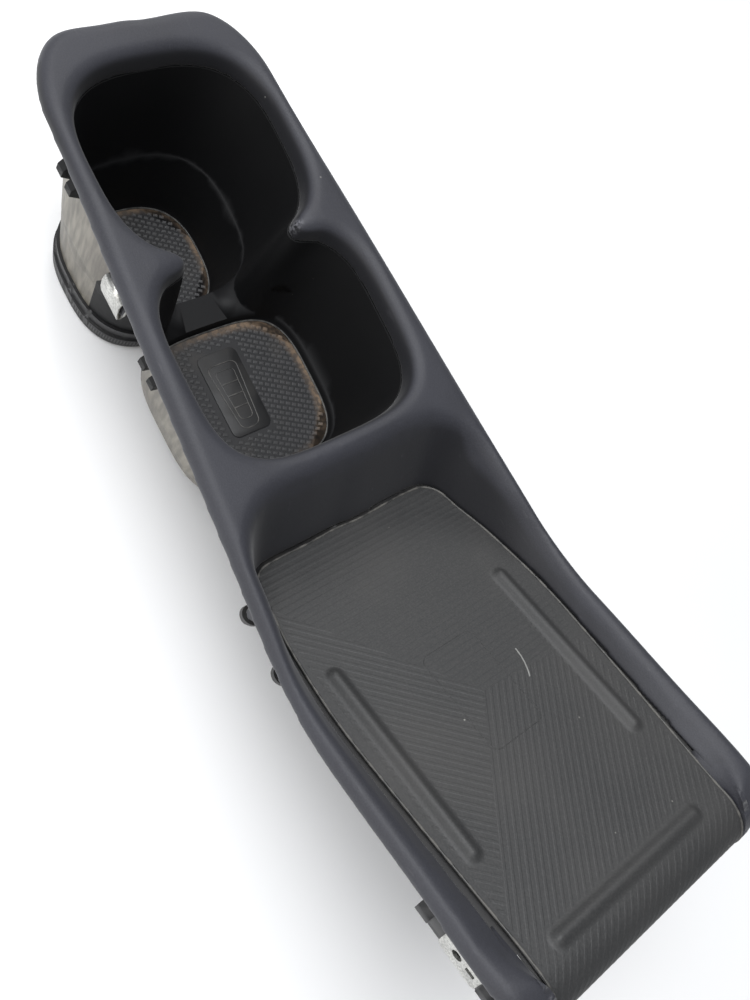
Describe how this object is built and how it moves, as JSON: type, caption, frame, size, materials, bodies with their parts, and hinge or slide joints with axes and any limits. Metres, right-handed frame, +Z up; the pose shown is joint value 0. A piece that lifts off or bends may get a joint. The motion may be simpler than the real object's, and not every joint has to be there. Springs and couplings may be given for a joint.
{
  "type": "vehicle console cup holder and phone tray",
  "caption": "Long bent console insert: hourglass twin cup wells of unequal depth, a rising phone tray with a ribbed rubber mat over its rolled lip, clips under the rim.",
  "frame": {"origin": "centre of the overall bounding box, at the underside of the deep well's cap", "axes": "+X towards the tray lip, +Z up, square to the rim of the cups"},
  "size_m": [0.3702, 0.1336, 0.1384],
  "materials": {
    "soft_touch": "fine-grained soft-touch charcoal",
    "raw_plastic": "raw moulded black plastic",
    "black_plastic": "plain black plastic",
    "mat_rubber": "patterned dark rubber",
    "clip_steel": "plain bright spring steel",
    "screw_steel": "dark zinc"
  },
  "bodies": {
    "insert": {"bezel": "soft_touch", "cup_bin": "raw_plastic", "deep_well_cap": "black_plastic", "tray_pan": "raw_plastic", "left_spring_clip": "clip_steel", "right_spring_clip": "clip_steel", "left_end_bracket": "black_plastic", "right_end_bracket": "black_plastic", "left_end_clip": "clip_steel", "right_end_clip": "clip_steel", "cap_screws": "screw_steel", "pan_screws": "screw_steel"},
    "deep_cup_mat_body": {"deep_cup_mat": "mat_rubber"},
    "shallow_cup_mat_body": {"shallow_cup_mat": "mat_rubber"},
    "tray_mat_body": {"tray_mat": "mat_rubber"}
  },
  "joints": [
    {"name": "deep_mat_lift", "type": "slide", "parent": "insert", "child": "deep_cup_mat_body", "axis": [0, 0, 1], "range_m": [0, 0.14]},
    {"name": "shallow_mat_lift", "type": "slide", "parent": "insert", "child": "shallow_cup_mat_body", "axis": [0, 0, 1], "range_m": [0, 0.11]},
    {"name": "tray_mat_lift", "type": "slide", "parent": "insert", "child": "tray_mat_body", "axis": [0, 0, 1], "range_m": [0, 0.06]}
  ]
}
